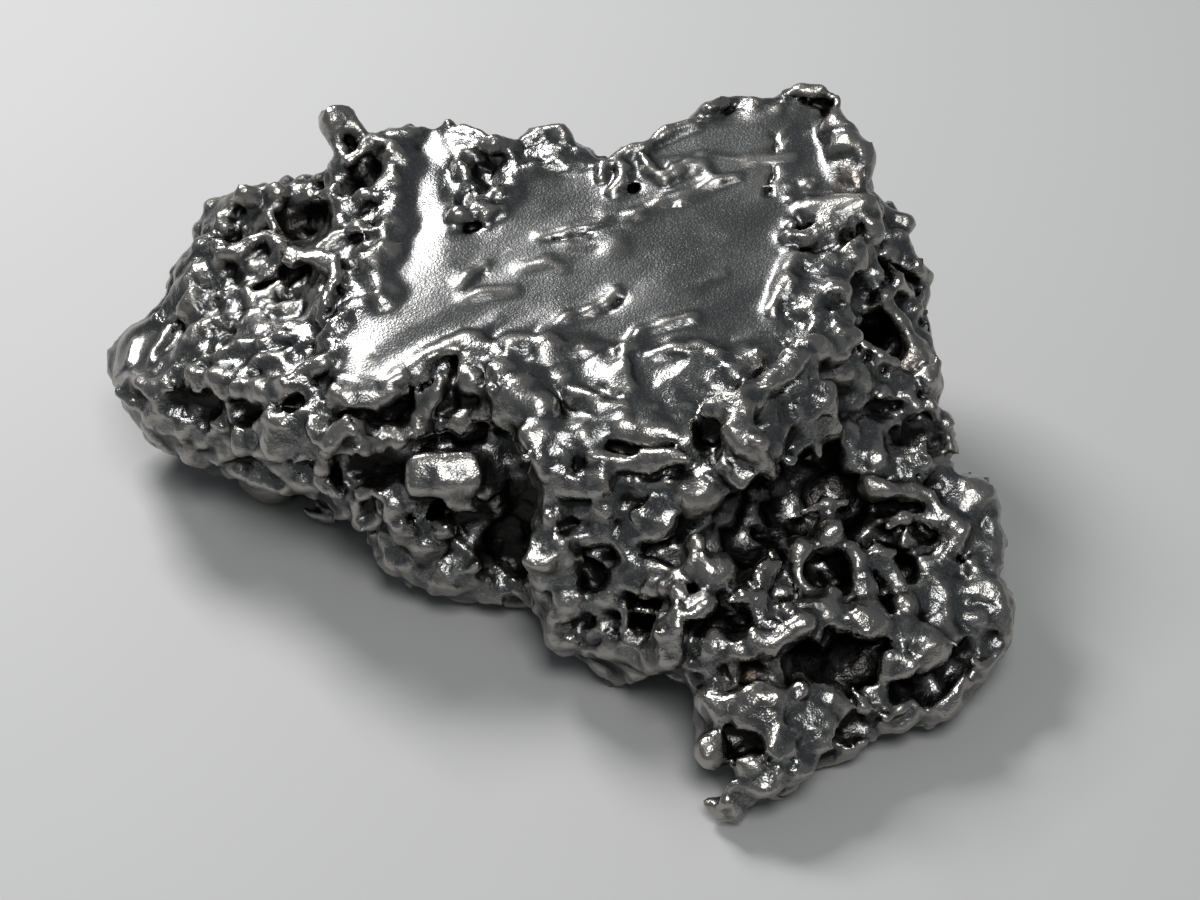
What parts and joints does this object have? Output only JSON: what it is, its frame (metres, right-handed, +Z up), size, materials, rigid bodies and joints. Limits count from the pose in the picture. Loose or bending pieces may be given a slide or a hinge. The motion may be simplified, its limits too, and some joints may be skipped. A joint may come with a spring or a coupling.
{
  "type": "iron meteorite specimen",
  "caption": "Irregular nodule of metallic iron: a smooth sloping slab face over a crumpled, pitted and ridged body, with a short toe and a rounded arm.",
  "frame": {"origin": "middle of the bounding box in plan, at the height of the ground it rests on", "axes": "+X along the longest side, from the arm's tip to the lobe; +Y away from the front; +Z up"},
  "size_m": [0.0623, 0.0504, 0.0239],
  "materials": {
    "iron": "bare iron, cleaned and waxed: bright worn ridges, dark pits, a few rust spots"
  },
  "bodies": {
    "root": {"meteorite": "iron"}
  },
  "joints": []
}
